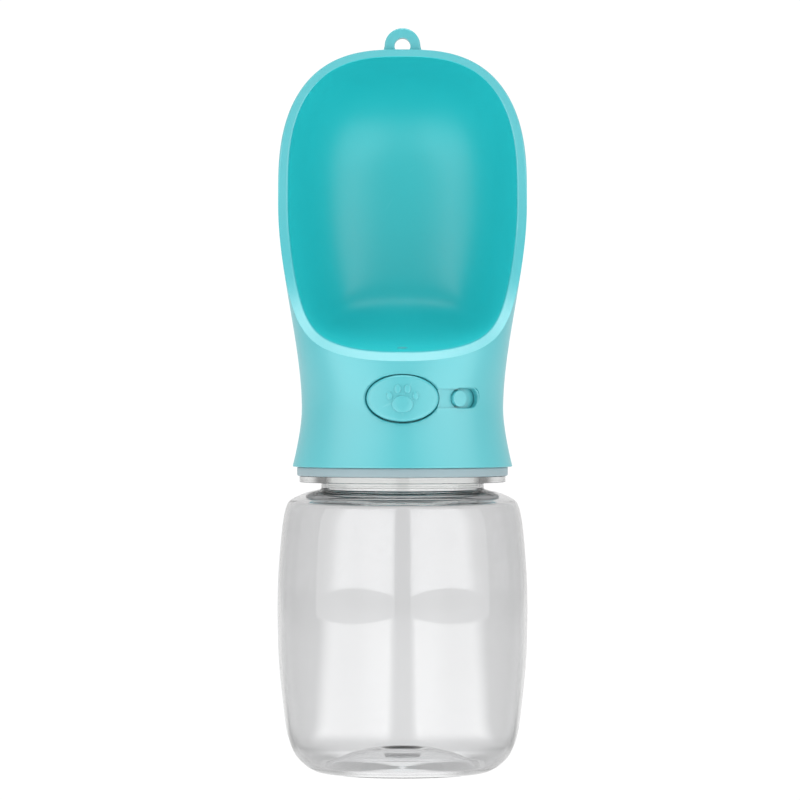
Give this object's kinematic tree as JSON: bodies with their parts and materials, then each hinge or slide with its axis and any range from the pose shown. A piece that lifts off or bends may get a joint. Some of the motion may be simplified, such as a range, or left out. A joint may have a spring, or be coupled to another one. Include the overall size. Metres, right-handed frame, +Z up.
{
  "type": "dog travel water bottle",
  "caption": "Travel water bottle for dogs: clear bottle with a screw-on scoop bowl head, push-button valve, slide lock and hang ring",
  "frame": {"origin": "middle of the bottle's foot, on the surface that it stands on", "axes": "+Z up along the bottle, the bowl and the button face -Y, the lock is on the +X side"},
  "size_m": [0.075, 0.075, 0.2233],
  "materials": {
    "clear_plastic": "gloss",
    "silicone": "matte",
    "teal_plastic": "satin",
    "white_plastic": "satin",
    "steel": "satin"
  },
  "bodies": {
    "bottle": {"bottle": "clear_plastic"},
    "gasket": {"neck_gasket": "silicone"},
    "head": {"head_shell": "teal_plastic", "valve_housing": "teal_plastic", "housing_seal": "silicone", "housing_screws": "steel", "screw_seals": "silicone", "outlet_grommet": "silicone", "gland_cap": "white_plastic", "stem_oring": "silicone", "chamber_cap": "white_plastic", "cap_oring": "silicone", "lock_bracket": "white_plastic", "lock_spring": "steel", "bracket_screws": "steel", "button_spring": "steel"},
    "button": {"button": "teal_plastic", "valve_stem": "white_plastic", "valve_plug": "silicone", "plug_washer": "steel", "stem_clip": "steel"},
    "lock": {"lock_slider": "teal_plastic"}
  },
  "joints": [
    {"name": "head_rise", "type": "slide", "parent": "bottle", "child": "gasket", "axis": [0, 0, 1], "range_m": [0, 0.006]},
    {"name": "head_turn", "type": "hinge", "parent": "gasket", "child": "head", "pos_m": [0, 0, 0.0912], "axis": [0, 0, 1], "range_deg": [0, 540]},
    {"name": "button_press", "type": "slide", "parent": "head", "child": "button", "axis": [0, 1, 0], "range_m": [0, 0.003], "stiffness_N_per_m": 600, "springref_m": -0.002, "deforming": ["button_spring"]},
    {"name": "lock_slide", "type": "hinge", "parent": "head", "child": "lock", "pos_m": [0, 0, 0.1117], "axis": [0, 0, 1], "range_deg": [0, 8.7]}
  ],
  "couplings": [
    {"joint": "head_rise", "follows": "head_turn", "m_per_rad": 0.0006366}
  ]
}
